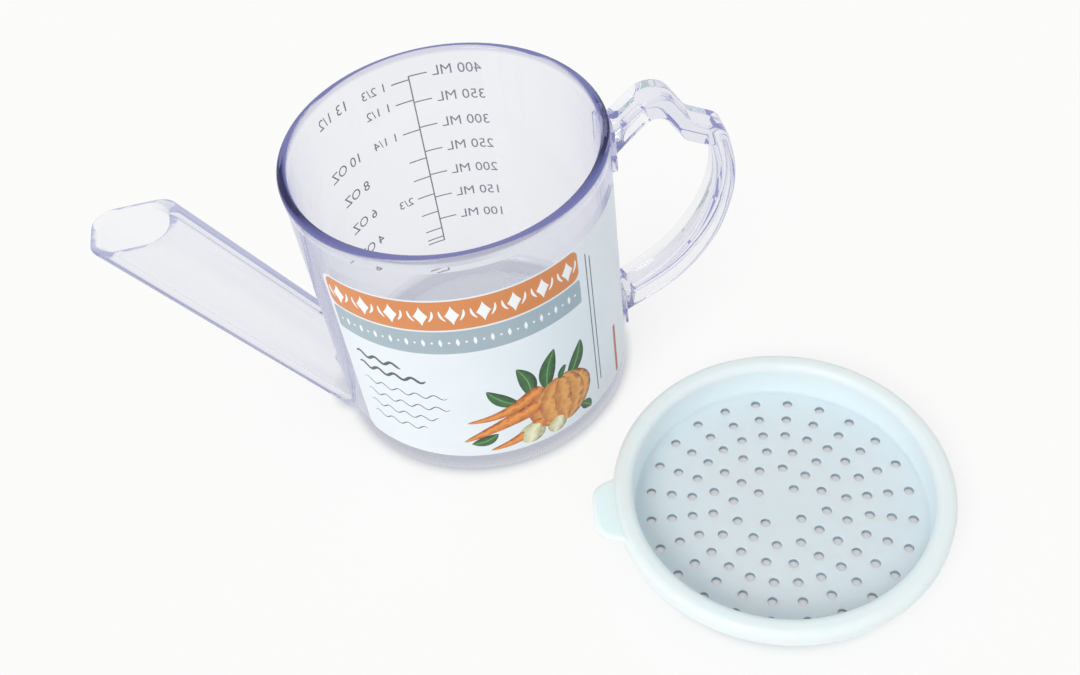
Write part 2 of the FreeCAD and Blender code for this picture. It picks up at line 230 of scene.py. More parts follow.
# The lid's own pale aqua, on the walls above the floor
AQUA_WALLS = (0.81, 0.955, 1.0)
AQUA_HOLES_SHADE_RISE = (LID_FLOOR - 0.1, LID_FLOOR - 0.3)
AQUA_WALLS_RISE = (LID_FLOOR + 0.1, LID_FLOOR + 0.9)
AQUA_REACH = 2.5  # how far light spreads under the skin, times the share of each colour
AQUA_SPREAD = (0.7, 1.0, 1.15)

# Inks and film: two colours that a plain one varies between
PLAIN_INKS = {
    "white_film": ((0.77, 0.83, 0.87), (0.83, 0.88, 0.91)),
    "orange_ink": ((0.66, 0.225, 0.065), (0.73, 0.275, 0.09)),
    "slate_ink": ((0.34, 0.43, 0.49), (0.40, 0.49, 0.54)),
    "dark_ink": ((0.06, 0.07, 0.08), (0.11, 0.12, 0.13)),
    "red_ink": ((0.45, 0.06, 0.05), (0.55, 0.10, 0.08)),
    "white_ink": ((0.90, 0.92, 0.93), (0.95, 0.96, 0.96)),
    "vein_ink": ((0.16, 0.36, 0.10), (0.24, 0.46, 0.16)),
    "grey_ink": ((0.34, 0.34, 0.37), (0.43, 0.43, 0.46)),
}
# The edge, the lightest and the far colour of a shaded one, and where across the strip it is lightest
SHADED_INKS = {
    "leaf_ink": ((0.006, 0.035, 0.012), (0.05, 0.17, 0.05), (0.02, 0.09, 0.03), 0.5),
    "carrot_ink": ((0.30, 0.055, 0.015), (0.88, 0.33, 0.06), (0.42, 0.09, 0.02), 0.42),
    "squash_ink": ((0.20, 0.05, 0.02), (0.85, 0.40, 0.10), (0.40, 0.11, 0.03), 0.38),
    "onion_ink": ((0.25, 0.22, 0.08), (0.90, 0.88, 0.62), (0.45, 0.42, 0.20), 0.40),
}
INK_ROUGHNESS = (0.32, 0.42)
MOTTLE = 0.16

# Studio
TABLE_RADIUS = 3000.0
TABLE_COLOUR = (0.93, 0.93, 0.92)
PAINTED_TABLE_SHADE = (0.42, 0.45, 0.50)  # painted shade in the gaps under the object
TABLE_GAP = 3.0
TABLE_GLOW = 0.75  # share of its own light in the open
GAP_GLOW = (0.56, 0.05)  # and in a gap: through plastic, and where nothing is in between
SURROUNDINGS = (1.0, 0.998, 0.985)
SKY = (0.96, 0.98, 1.0)
SKY_STRENGTH = 0.7
SUN_STRENGTH = 1.3
SUN_SPREAD = 30
SUN_WAY = (0.5, 0.55, -0.67)
CAMERA_PLACE = (-6.72, -251.72, 287.05)
CAMERA_RIGHT = (0.97303, -0.20745, -0.10085)
CAMERA_DOWN = (-0.22165, -0.71992, -0.65772)
CAMERA_FORWARD = (0.06384, 0.66234, -0.74648)
SENSOR_WIDTH = 36.0
FOCAL_LENGTH = 40.48
NEAREST_SEEN = 10.0


# ---------------------------------------------------------------- meshes

def placed(name, data):
    """New object in the scene for a mesh, curve, lamp or camera."""
    thing = bpy.data.objects.new(name, data)
    bpy.context.scene.collection.objects.link(thing)
    return thing


def finished_mesh(thing):
    """Mesh of an object as its modifiers leave it; the object goes."""
    graph = bpy.context.evaluated_depsgraph_get()
    mesh = bpy.data.meshes.new_from_object(thing.evaluated_get(graph))
    bpy.data.objects.remove(thing)
    return mesh


def points_of(mesh):
    """The mesh's points, one row each, in metres."""
    flat = np.empty(len(mesh.vertices) * 3)
    mesh.vertices.foreach_get("co", flat)
    return flat.reshape(-1, 3)


def merge_doubles(mesh, turn_outwards):
    """Merges a mesh's doubles and, where asked, turns its faces outwards."""
    work = bmesh.new()
    work.from_mesh(mesh)
    bmesh.ops.remove_doubles(work, verts=work.verts, dist=MERGE * MM)
    if turn_outwards:
        bmesh.ops.recalc_face_normals(work, faces=work.faces)
    work.to_mesh(mesh)
    work.free()


def grid_faces(rows, columns, ring):
    """Four-sided faces between neighbouring points of a grid; a ring joins its last column to its first."""
    last = columns if ring else columns - 1
    row, column = np.meshgrid(np.arange(rows - 1), np.arange(last), indexing="ij")
    beside = (column + 1) % columns
    corners = [row * columns + column, row * columns + beside,
               (row + 1) * columns + beside, (row + 1) * columns + column]
    return np.stack(corners, axis=-1).reshape(-1, 4)


def solid_mesh(name, points, pattern=None):
    """Mesh of a grid of closed rings of points, with its doubles merged and its faces turned outwards.

    A pattern is a grid of pairs of numbers kept as the mesh's UV map."""
    rows, columns = points.shape[:2]
    faces = grid_faces(rows, columns, ring=True)
    mesh = bpy.data.meshes.new(name)
    mesh.from_pydata((points.reshape(-1, 3) * MM).tolist(), [], faces.tolist())
    if pattern is not None:
        layer = mesh.uv_layers.new(name="UVMap")
        layer.data.foreach_set("uv", pattern.reshape(-1, 2)[faces.ravel()].ravel())
    merge_doubles(mesh, turn_outwards=True)
    return mesh


def capped_mesh(name, rings):
    """Mesh of a run of closed rings whose first and last are closed to their middles."""
    first, last = (np.broadcast_to(ring.mean(axis=0), ring.shape)[None] for ring in (rings[0], rings[-1]))
    return solid_mesh(name, np.concatenate([first, rings, last]))


def sheet_mesh(name, front, back, pattern=None):
    """Mesh between two grids of points that meet along their borders, both with the same pattern."""
    if pattern is not None:
        pattern = np.concatenate([pattern, pattern[:, ::-1]], axis=1)
    return solid_mesh(name, np.concatenate([front, back[:, ::-1]], axis=1), pattern)


def joined_mesh(name, meshes):
    """One mesh that holds several."""
    work = bmesh.new()
    for mesh in meshes:
        work.from_mesh(mesh)
    joined = bpy.data.meshes.new(name)
    work.to_mesh(joined)
    work.free()
    return joined


def carved(mesh, tool, operation, solver="EXACT"):
    """The mesh after a closed cut or union with another."""
    target, cutter = placed(mesh.name, mesh), placed(mesh.name + "_tool", tool)
    step = target.modifiers.new("Carve", "BOOLEAN")
    step.operation = operation
    step.solver = solver
    step.object = cutter
    result = finished_mesh(target)
    bpy.data.objects.remove(cutter)
    return result


def show(name, mesh, material, body, node=None):
    """Puts a finished mesh on its body, shaded smooth up to the crease angle."""
    mesh.shade_smooth()
    mesh.set_sharp_from_angle(angle=math.radians(CREASE))
    mesh.materials.clear()
    mesh.materials.append(material)
    piece = placed(name, mesh)
    even = piece.modifiers.new("Even shading", "WEIGHTED_NORMAL")
    even.keep_sharp = True
    even.weight = 100
    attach(piece, body)
    if node:
        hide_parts(node)


def rounded(corners, steps):
    """Closed outlines whose corners (u, v, rounding) become exact arcs of steps + 1 points.

    The arc from a to b round the corner c is ((1-t)^2 a + 2wt(1-t) c + t^2 b) over the sum of its
    weights, where w is the sine of half the angle at the corner. Leading axes are kept as they are."""
    corners = np.asarray(corners, float)
    corner, rounding = corners[..., :2], corners[..., 2:]
    back = np.roll(corner, 1, axis=-2) - corner
    ahead = np.roll(corner, -1, axis=-2) - corner
    back /= np.linalg.norm(back, axis=-1, keepdims=True)
    ahead /= np.linalg.norm(ahead, axis=-1, keepdims=True)
    half = np.arccos((back * ahead).sum(-1, keepdims=True).clip(-1, 1)) / 2
    reach = rounding / np.tan(half)
    a, b, c, w = (part[..., None, :] for part in
                  (corner + back * reach, corner + ahead * reach, corner, np.sin(half)))
    t = np.linspace(0, 1, steps + 1)[:, None]
    total = (1 - t) ** 2 + 2 * w * t * (1 - t) + t ** 2
    return ((1 - t) ** 2 * a + 2 * w * t * (1 - t) * c + t ** 2 * b) / total


def outline(corners, steps=8):
    """The same outlines with all their arcs in one run of points."""
    arcs = rounded(corners, steps)
    return arcs.reshape(arcs.shape[:-3] + (-1, 2))


def round_axis(radius, angle, height):
    """Points at a distance from the Z axis, in a direction round it in radians, and at a height."""
    return np.stack(np.broadcast_arrays(radius * np.cos(angle), radius * np.sin(angle), height), axis=-1)


def turned(name, corners, steps=ROUND_STEPS, arc=8):
    """Solid turned round the Z axis from corners (radius, height, rounding) that start and end on it."""
    radius, height = outline(corners, arc).T[:, :, None]
    return solid_mesh(name, round_axis(radius, np.linspace(0, math.tau, steps, endpoint=False), height))


def round_bar(name, radius, low, high, steps=ROUND_STEPS):
    """Upright solid cylinder round the Z axis, used as a tool."""
    return turned(name, [(0, low, 0), (radius, low, 0), (radius, high, 0), (0, high, 0)], steps, 1)


def on_wall(along, height, radius, direction):
    """Points of a flat pattern wrapped on a cylinder: along runs round it from the given direction."""
    return round_axis(radius, math.radians(direction) + along / WALL_RADIUS, height)


def degrees_along(length):
    """Angle that a length takes up round the cup's wall."""
    return math.degrees(length / WALL_RADIUS)


def wall_patch(name, start, end, low, high, corner, inside, thickness, edge, columns=96, rows=12, steps=7):
    """Slab that follows the cup wall between two directions, with rounded corners.

    Its thickness is a quarter circle wide by edge along its border and even inside it, and its half
    width falls at each height by how far the rounded corner pulls in."""
    border = edge * (1 - np.cos(np.linspace(0, math.pi / 2, steps)))
    corner_rise = corner * (1 - np.cos(np.linspace(0, math.pi / 2, 9)))
    inner_rise = np.linspace(max(corner, edge), (high - low) / 2, rows)
    rise = np.unique(np.concatenate([border, corner_rise, inner_rise]).clip(0, (high - low) / 2))
    rise = rise[np.concatenate([[True], np.diff(rise) > 2 * MERGE])]
    pull = corner - np.sqrt(np.maximum(corner ** 2 - (corner - rise.clip(0, corner)) ** 2, 0))
    height = np.concatenate([low + rise, (high - rise)[::-1]])[:, None]
    from_end = np.concatenate([rise, rise[::-1]])[:, None]
    half_width = math.radians(end - start) * WALL_RADIUS / 2 - np.concatenate([pull, pull[::-1]])[:, None]
    share = np.concatenate([-np.ones(steps), np.linspace(-1, 1, columns), np.ones(steps)])
    shift = np.concatenate([border - edge, np.zeros(columns), (edge - border)[::-1]])
    from_side = np.concatenate([border, np.full(columns, edge), border[::-1]])
    along = share * (half_width - edge) + shift

    def swell(distance):
        """Share of the full thickness at a distance from the border."""
        return np.sqrt(1 - (1 - (distance / edge).clip(0, 1)) ** 2)

    middle = (start + end) / 2
    front = on_wall(along, height, inside + thickness * swell(from_end) * swell(from_side), middle)
    return sheet_mesh(name, front, on_wall(along, height, inside, middle))


# ---------------------------------------------------------------- finishes

def plug(tree, node, inputs):
    """Gives inputs of a node a number, a colour of three numbers, or an output of another node."""
    for name, value in inputs.items():
        socket = node.inputs[name]
        if isinstance(value, bpy.types.NodeSocket):
            tree.links.new(value, socket)
        elif socket.type == "RGBA":
            socket.default_value = (*value, 1)
        else:
            socket.default_value = value


def add(tree, kind, inputs, **settings):
    """New shader node of a kind, with its settings and inputs."""
    node = tree.nodes.new("ShaderNode" + kind)
    for name, value in settings.items():
        setattr(node, name, value)
    plug(tree, node, inputs)
    return node


def reckon(tree, operation, first, second):
    """A number worked out from two."""
    return add(tree, "Math", {0: first, 1: second}, operation=operation).outputs[0]


def blend(tree, factor, low, high):
    """Colour that runs from low to high with the factor."""
    return add(tree, "Mix", {0: factor, 6: low, 7: high}, data_type="RGBA").outputs[2]


def either(tree, factor, first, second):
    """Finish that is the first where the factor is 0 and the second where it is 1."""
    return add(tree, "MixShader", {0: factor, 1: first, 2: second}).outputs[0]


def ray(tree, kind):
    """What the Light Path node says of the ray, such as Is Camera Ray."""
    return add(tree, "LightPath", {}).outputs[kind]


def place(tree):
    """The piece's own coordinates, in metres."""
    return add(tree, "TexCoord", {}).outputs["Object"]


def noise(tree, scale, detail):
    """Noise on the piece's own coordinates, with features about 1 / scale metres across."""
    return add(tree, "TexNoise", {"Vector": place(tree), "Scale": scale, "Detail": detail}).outputs["Fac"]


def between(tree, factor, low, high):
    """Number that runs from low to high as the factor runs from 0.3 to 0.7."""
    return add(tree, "MapRange", {"Value": factor, "From Min": 0.3, "From Max": 0.7,
                                  "To Min": low, "To Max": high}).outputs["Result"]


def above(tree, low, high, most=1.0):
    """Rises from 0 at one height to most at another, both in millimetres."""
    height = add(tree, "SeparateXYZ", {0: place(tree)}).outputs["Z"]
    return add(tree, "MapRange", {"Value": height, "From Min": low * MM, "From Max": high * MM,
                                  "To Max": most}).outputs["Result"]


def grazing(tree, power, most):
    """Rises from 0 where a surface faces the viewer to most where it is seen along its skin."""
    facing = add(tree, "LayerWeight", {}).outputs["Facing"]
    return reckon(tree, "MULTIPLY", reckon(tree, "POWER", facing, power), most)


def bump(tree, shader, factor, depth, strength):
    """Surface relief from a factor; depth is in millimetres."""
    relief = add(tree, "Bump", {"Height": factor, "Distance": depth * MM, "Strength": strength})
    plug(tree, shader, {"Normal": relief.outputs["Normal"]})


def new_finish(name):
    """Empty node material, its tree and its Principled shader."""
    material = bpy.data.materials.new(name)
    material.use_nodes = True
    return material, material.node_tree, material.node_tree.nodes["Principled BSDF"]


def trapped_light(tree, surface, colour):
    """Ends light that is mirrored inside the plastic again and again in a painted glow, an emission of a
    colour, not in black.
    """
    trapped = reckon(tree, "GREATER_THAN", ray(tree, "Glossy Depth"), TRAPPED_AFTER)
    # Painted glow: an emission, not a lamp
    return either(tree, trapped, surface, add(tree, "Emission", {"Color": colour}).outputs[0])


def clear_to_lamps(tree, surface):
    """Lets lamps and the light of matt faces through the plastic as a faint tint, not as noisy caustics."""
    lamps = add(tree, "BsdfTransparent", {"Color": LAMP_TINT}).outputs[0]
    for kind in ("Is Shadow Ray", "Is Diffuse Ray"):
        surface = either(tree, ray(tree, kind), surface, lamps)
    return surface


def clear_plastic(name, density, trapped, rim=False):
    """Moulded clear styrene: gloss, faint flow waves, and a violet tint in thick places and at edges.

    Density is how strongly its thickness takes up light, and trapped is the colour of the painted glow that
    ends light trapped in its edges."""
    material, tree, shader = new_finish(name)
    colour = blend(tree, noise(tree, 30, 3), *CLEAR_COLOURS)
    colour = blend(tree, grazing(tree, *EDGE_TINT_RISE), colour, EDGE_TINT)
    if rim:
        colour = blend(tree, above(tree, *RIM_TINT_RISE), colour, RIM_TINT)
    plug(tree, shader, {"Base Color": colour, "Roughness": between(tree, noise(tree, 120, 4), 0.0, 0.05),
                        "Transmission Weight": 1.0, "IOR": CLEAR_INDEX})
    bump(tree, shader, noise(tree, 45, 2), 0.1, 0.12)
    thickness = add(tree, "VolumeAbsorption", {"Color": THICK_COLOUR, "Density": density})
    surface = clear_to_lamps(tree, trapped_light(tree, shader.outputs[0], trapped))
    plug(tree, tree.nodes["Material Output"], {"Surface": surface, "Volume": thickness.outputs[0]})
    material.cycles.emission_sampling = "NONE"
    return material


def lid_plastic():
    """Soft translucent aqua moulding with a satin gloss, its floor darkened by painted shade and its holes
    darker still by painted shade.
    """
    material, tree, shader = new_finish("aqua_lid_plastic")
    # Painted shade over the whole floor, varying at random
    colour = blend(tree, noise(tree, 22, 3), *AQUA_FLOOR_PAINTED_SHADE)
    # Darker painted shade in the holes
    colour = blend(tree, above(tree, *AQUA_HOLES_SHADE_RISE), colour, AQUA_HOLES_PAINTED_SHADE)
    colour = blend(tree, above(tree, *AQUA_WALLS_RISE), colour, AQUA_WALLS)
    plug(tree, shader, {"Base Color": colour, "Roughness": between(tree, noise(tree, 160, 4), 0.30, 0.42),
                        "Subsurface Weight": 1.0, "Subsurface Radius": AQUA_SPREAD,
                        "Subsurface Scale": AQUA_REACH * MM, "IOR": AQUA_INDEX})
    bump(tree, shader, noise(tree, 700, 3), 0.03, 0.25)
    return material


def plain_ink(name):
    """Film or one ink with slightly uneven cover."""
    material, tree, shader = new_finish(name)
    plug(tree, shader, {"Base Color": blend(tree, noise(tree, 90, 5), *PLAIN_INKS[name]),
                        "Roughness": between(tree, noise(tree, 300, 3), *INK_ROUGHNESS)})
    bump(tree, shader, noise(tree, 60, 2), 0.05, 0.1)
    return material


def shaded_ink(name):
    """Mottled ink shaded across each strip, from its edge colour to its lightest and on to its far one."""
    material, tree, shader = new_finish(name)
    edge, light, far, peak = SHADED_INKS[name]
    across = add(tree, "SeparateXYZ", {0: add(tree, "UVMap", {}).outputs["UV"]}).outputs["Y"]
    mottle = between(tree, noise(tree, 520, 5), -MOTTLE, MOTTLE)
    shades = add(tree, "ValToRGB", {"Fac": reckon(tree, "ADD", across, mottle)})
    stops = shades.color_ramp.elements
    stops[0].color = (*edge, 1)
    stops[1].color = (*far, 1)
    stops.new(peak).color = (*light, 1)
    plug(tree, shader, {"Base Color": shades.outputs["Color"],
                        "Roughness": between(tree, noise(tree, 300, 3), *INK_ROUGHNESS)})
    return material


# ---------------------------------------------------------------- cup

def cup_mesh():
    """Foot ring, wall, bead and rounded rim in one turned section, with the port cut through."""
    foot_inside = WALL_RADIUS - BASE_ROUNDING - FOOT_WIDTH
    bead = CUP_HEIGHT - BEAD_HEIGHT
    shell = turned("cup", [
        (0, FOOT_DEPTH, 0), (foot_inside - FOOT_DEPTH, FOOT_DEPTH, RECESS_ROUNDING),
        (foot_inside, 0, FOOT_ROUNDING), (WALL_RADIUS, 0, BASE_ROUNDING),
        (WALL_RADIUS, bead - BEAD_FADE, BEAD_ROUNDINGS[0]), (RIM_RADIUS, bead, BEAD_ROUNDINGS[1]),
        (RIM_RADIUS, CUP_HEIGHT, RIM_ROUNDING), (MOUTH_RADIUS, CUP_HEIGHT, RIM_ROUNDING),
        (MOUTH_RADIUS, FLOOR_TOP, FLOOR_ROUNDING), (0, FLOOR_TOP, 0)])
    width, height, rounding = PORT
    across, top = width / 2, FLOOR_TOP + height
    section = outline([(-across, FLOOR_TOP, rounding), (across, FLOOR_TOP, rounding),
                       (across, top, rounding), (-across, top, rounding)])
    rings = [np.insert(section, 0, -reach, axis=1) for reach in (MOUTH_RADIUS - PAST, WALL_RADIUS + PAST)]
    return carved(shell, capped_mesh("port_tool", np.stack(rings)), "DIFFERENCE")


def wall_tool():
    """Bar that trims a welded piece to the cup's wall."""
    return round_bar("wall_tool", WALL_RADIUS - SEATED, -PAST, CUP_HEIGHT + PAST)


# ---------------------------------------------------------------- spout

def spout_rings(height, inset):
    """Level outlines of the leaning tube at an array of heights, moved in by an array of insets.

    The far side leans out evenly from foot to mouth, the near side stays SPOUT_DEPTH behind it, and
    the roundings change from the outer to the inner ones as the inset reaches the wall's thickness."""
    low, high = SPOUT_FOOT, SPOUT_MOUTH
    share = (height - low[0]) / (high[0] - low[0])
    slope = math.hypot(high[0] - low[0], high[1] - low[1]) / (high[0] - low[0])
    far = WALL_RADIUS + low[1] + (high[1] - low[1]) * share
    near = far - SPOUT_DEPTH
    side = (low[2] + (high[2] - low[2]) * share) / 2 - inset
    deep = inset / SPOUT_WALL
    near_rounding, far_rounding = (np.minimum(a + (b - a) * deep, side - SPOUT_FLAT)
                                   for a, b in zip(SPOUT_OUTSIDE, SPOUT_INSIDE))
    near, far = -near - inset * slope, -far + inset * slope
    corners = np.stack([np.stack(c, axis=-1) for c in (
        (near, -side, near_rounding), (near, side, near_rounding),
        (far, side, far_rounding), (far, -side, far_rounding))], axis=-2)
    rings = outline(corners, 12)
    return np.concatenate([rings, np.broadcast_to(height[:, None, None], rings.shape[:2] + (1,))], axis=-1)


def spout_mesh():
    """Tube with a rounded lip, closed at the foot and trimmed to the cup's wall.

    Its skin runs up the outside, over the lip on a half circle and down the inside."""
    foot, mouth = SPOUT_FOOT[0], SPOUT_MOUTH[0]
    turn = np.linspace(0, math.pi, 9)
    height = np.concatenate([[foot], mouth - SPOUT_LIP + SPOUT_LIP * np.sin(turn), [foot + SPOUT_WALL]])
    inset = np.concatenate([[0], SPOUT_WALL * (1 - np.cos(turn)) / 2, [SPOUT_WALL]])
    return carved(capped_mesh("spout", spout_rings(height, inset)), wall_tool(), "DIFFERENCE")


# ---------------------------------------------------------------- handle

def strap_side(thumb, bow, steps=14, between_arcs=10):
    """One edge of the strap's side view as an even run of points: arcs at the corners, straight between."""
    corners = [(WALL_RADIUS + out, UPPER_PAD_TOP - drop, rounding) for out, drop, rounding in thumb]
    corners += [(WALL_RADIUS + out, LOWER_PAD_BOTTOM + rise, rounding) for out, rise, rounding in bow]
    arcs = rounded(corners, steps)
    share = np.linspace(0, 1, between_arcs + 2)[1:-1, None]
    straights = arcs[:-1, -1:] * (1 - share) + arcs[1:, :1] * share
    return np.concatenate([np.concatenate([arcs[:-1], straights], axis=1).reshape(-1, 2), arcs[-1]])


def ramp(value, start, length):
    """Smooth step from 0 to 1 that begins at start."""
    share = ((value - start) / length).clip(0, 1)
    return share * share * (3 - 2 * share)


def strap_mesh():
    """The strap: across each pair of points of its two edges stands a rounded I section.

    The section's flutes deepen with a factor that rises and falls along the strap."""
    inner, outer = strap_side(THUMB_INNER, BOW_INNER), strap_side(THUMB_OUTER, BOW_OUTER)
    thickness = np.linalg.norm(outer - inner, axis=1)
    across = (outer - inner) / thickness[:, None]
    out, height = ((inner + outer) / 2).T
    out = out - WALL_RADIUS
    split = UPPER_PAD_TOP - BOW_FLUTE_DROP
    thumb = ramp(out, FLUTE_START, FLUTE_END) * ramp(-out, -THUMB_FLUTE_REACH, FLUTE_END) * (height > split)
    bow = ramp(out, FLUTE_START, FLUTE_END) * ramp(-height, -split, FLUTE_END)
    depth = np.maximum(thumb, bow).clip(LEAST_FLUTE)
    side = HANDLE_WIDTH / 2 + 0 * depth
    floor = side - depth * (HANDLE_WIDTH - HANDLE_WEB) / 2
    low, high = HANDLE_FLANGE + 0 * depth, thickness - HANDLE_FLANGE
    edge, fillet = HANDLE_EDGE + 0 * depth, FLUTE_EDGE * depth
    half = [(0 * depth, side, edge), (low, side, fillet), (low, floor, fillet),
            (high, floor, fillet), (high, side, fillet), (thickness, side, edge)]
    corners = [(a, -y, r) for a, y, r in half] + half[::-1]
    sections = outline(np.stack([np.stack(c, axis=-1) for c in corners], axis=-2), 4)
    flat = inner[:, None] + across[:, None] * sections[..., :1]
    return capped_mesh("handle", np.stack([flat[..., 0], sections[..., 1], flat[..., 1]], axis=-1))


def handle_mesh():
    """Strap and pads in one, trimmed to the wall."""
    width, height, rounding, thickness = PAD
    half = degrees_along(width / 2)
    handle = carved(strap_mesh(), wall_tool(), "DIFFERENCE")
    for low in (UPPER_PAD_TOP - height, LOWER_PAD_BOTTOM):
        pad = wall_patch("pad", -half, half, low, low + height, rounding, WALL_RADIUS - SEATED,
                         thickness + SEATED, PAD_EDGE, columns=24)
        handle = carved(handle, pad, "UNION")
    return handle


# ---------------------------------------------------------------- label

def show_print(name, mesh, ink, node=None):
    """Puts film or ink on the cup."""
    show(name, mesh, ink, "cup", node)


def print_patch(name, start, end, low, high, corner, ink):
    """One flat inked field, rooted in the label's film by half a thickness of print."""
    inside = WALL_RADIUS + LABEL_THICKNESS - PRINT_THICKNESS / 2
    show_print(name, wall_patch(name, start, end, low, high, corner, inside, PRINT_THICKNESS * 1.5, INK_EDGE,
                                steps=3), ink)


def ribbon(centre, half_width, layer, across=13):
    """Printed strip: at each point of a centre line it reaches half its width to both sides.

    The centre line is an array of (along, up) from the picture's middle, wrapped on the film. With s
    from 0 to 1 along it and t from -1 to 1 across, it is as thick as its layer says times the least of
    1 and 3 (1 - |t|), times the fourth root of the least of 1, 10 s and 10 (1 - s). Its pattern runs
    from 0 to 1 along it and from 0 to 1 across."""
    heading = np.gradient(centre, axis=0)
    heading /= np.linalg.norm(heading, axis=1, keepdims=True)
    side = np.stack([-heading[:, 1], heading[:, 0]], axis=1)
    t = np.linspace(-1, 1, across)
    s = np.linspace(0, 1, len(centre))
    along, up = np.moveaxis(centre[:, None] + side[:, None] * (half_width[:, None] * t)[..., None], -1, 0)
    swell = np.minimum(1, 3 * (1 - abs(t))) * np.minimum(1, 10 * np.minimum(s, 1 - s))[:, None] ** 0.25
    film = WALL_RADIUS + LABEL_THICKNESS - PRINT_THICKNESS / 2
    front = on_wall(along, up, film + swell * (layer + 0.5) * PRINT_THICKNESS, PICTURE_MIDDLE)
    pattern = np.stack(np.broadcast_arrays(s[:, None], (t + 1) / 2), axis=-1)
    return sheet_mesh("strip", front, on_wall(along, up, film, PICTURE_MIDDLE), pattern)


def lens(start, end, half_width, fullness=0.5, sag=0.0, steps=33):
    """Centre line and half widths of a shape pointed or round at both ends.

    Its half width is sin(pi s) to the power of its fullness, and its centre line sags by a half sine."""
    s = np.linspace(0, 1, steps)
    start, end = np.array(start, float), np.array(end, float)
    square = np.array([start[1] - end[1], end[0] - start[0]]) / math.dist(start, end)
    centre = start + (end - start) * s[:, None] + square * (sag * np.sin(math.pi * s))[:, None]
    return centre, half_width * np.sin(math.pi * s) ** fullness


def upright(x, middle, half_height, half_width, fullness, steps):
    """A lens that stands upright."""
    return lens((x, middle - half_height), (x, middle + half_height), half_width, fullness, 0, steps)


def tapered(start, end, half_width, sag):
    """Centre line and half widths of a root: round at its crown and drawn out to a fine tip.

    Its half width is the root of 12 s, up to 1, times (1 - s) to the power of 0.55, times 1 - s / 4."""
    centre, _ = lens(start, end, 1, sag=sag)
    s = np.linspace(0, 1, len(centre))
    return centre, half_width * np.minimum(1, s * 12) ** 0.5 * (1 - s) ** 0.55 * (1 - 0.25 * s)


def lozenge(x, middle):
    """Centre line and half widths of an upright lozenge whose sides curve in.

    Its half width is (1 - |2s - 1|) to the power of 1.5."""
    half_height, half_width = LOZENGE
    across = 2 * np.linspace(0, 1, 25) - 1
    centre = np.stack([x + 0 * across, middle + half_height * across], axis=1)
    return centre, half_width * (1 - abs(across)) ** 1.5


def lobe(out, half_width):
    """Centre line and half widths of one of the squash's ribs, which bows out by sin(pi s) to the 0.6."""
    s = np.linspace(0, 1, 33)
    x, up = SQUASH_MIDDLE
    centre = np.stack([x + out * np.sin(math.pi * s) ** 0.6, up + SQUASH_RISE * (2 * s - 1)], axis=1)
    return centre, half_width * np.sin(math.pi * s) ** 0.55


def wave(up, reach, half_width):
    """Centre line and half widths of a wavy line that starts at the left of the panel."""
    s = np.linspace(0, 1, 161)
    along = from_picture(PANEL_START) + WAVE_MARGIN + reach * s
    centre = np.stack([along, up + WAVE_RISE * np.sin(math.tau * reach / WAVE_LENGTH * s)], axis=1)
    return centre, half_width * np.minimum(1, 12 * np.minimum(s, 1 - s)) ** 0.5


def from_picture(direction):
    """Way along the wall from the picture's middle to a direction."""
    return math.radians(direction - PICTURE_MIDDLE) * WALL_RADIUS


def strips(name, shapes, ink, layer, stack=STACK, across=13):
    """Several printed strips of one ink, each higher than the one before by a share of a layer."""
    meshes = [ribbon(*shape, layer + index * stack, across) for index, shape in enumerate(shapes)]
    show_print(name, joined_mesh(name, meshes), ink)


def make_ornaments():
    """Rows of plain white lozenges, arcs, dashes and dots along the two bands."""
    orange_middle = (ORANGE_BAND[0] + ORANGE_BAND[1]) / 2
    slate_middle = (SLATE_BAND[0] + SLATE_BAND[1]) / 2
    first, reach = from_picture(PANEL_START), from_picture(PANEL_END) - from_picture(PANEL_START)
    foot_out, top_out, half_height, half_width, sag = SIDE_ARC
    shapes = []
    for x in first + reach * (np.arange(LOZENGE_COUNT) + 0.5) / LOZENGE_COUNT:
        shapes.append(lozenge(x, orange_middle))
        for side in (-1, 1):
            shapes.append(lens((x + side * foot_out, orange_middle - half_height),
                               (x + side * top_out, orange_middle + half_height),
                               half_width, 0.7, side * -sag, 17))
    for x in first + reach * np.arange(1, DOT_COUNT) / DOT_COUNT:
        shapes.append(upright(x, slate_middle, *DASH, 1.1, 17))
    for x in first + reach * (np.arange(DOT_COUNT) + 0.5) / DOT_COUNT:
        shapes.append(upright(x, slate_middle, DOT, DOT, 0.5, 13))
    strips("label_ornaments", shapes, plain_ink("white_ink"), 1.6, 0, 7)


def make_picture():
    """Plain still life of kitchen vegetables: leaves, a ribbed squash, carrots and two onions.

    The last number of each call is how many thicknesses of print its first strip stands proud."""
    green = shaded_ink("leaf_ink")
    veins = [lens(start, end, VEIN, 0.5, sag) for start, end, _, _, sag in LEAVES]
    strips("label_leaves", [lens(*leaf) for leaf in LEAVES], green, 0.6)
    strips("label_veins", veins, plain_ink("vein_ink"), 2.8)
    strips("label_squash", [lobe(*rib) for rib in SQUASH_LOBES], shaded_ink("squash_ink"), 3.2)
    strips("label_stem", [lens(*STEM)], green, 5.4)
    strips("label_carrots", [tapered(*carrot) for carrot in CARROTS], shaded_ink("carrot_ink"), 5.2)
    strips("label_onions", [lens(*onion) for onion in ONIONS], shaded_ink("onion_ink"), 6.4)


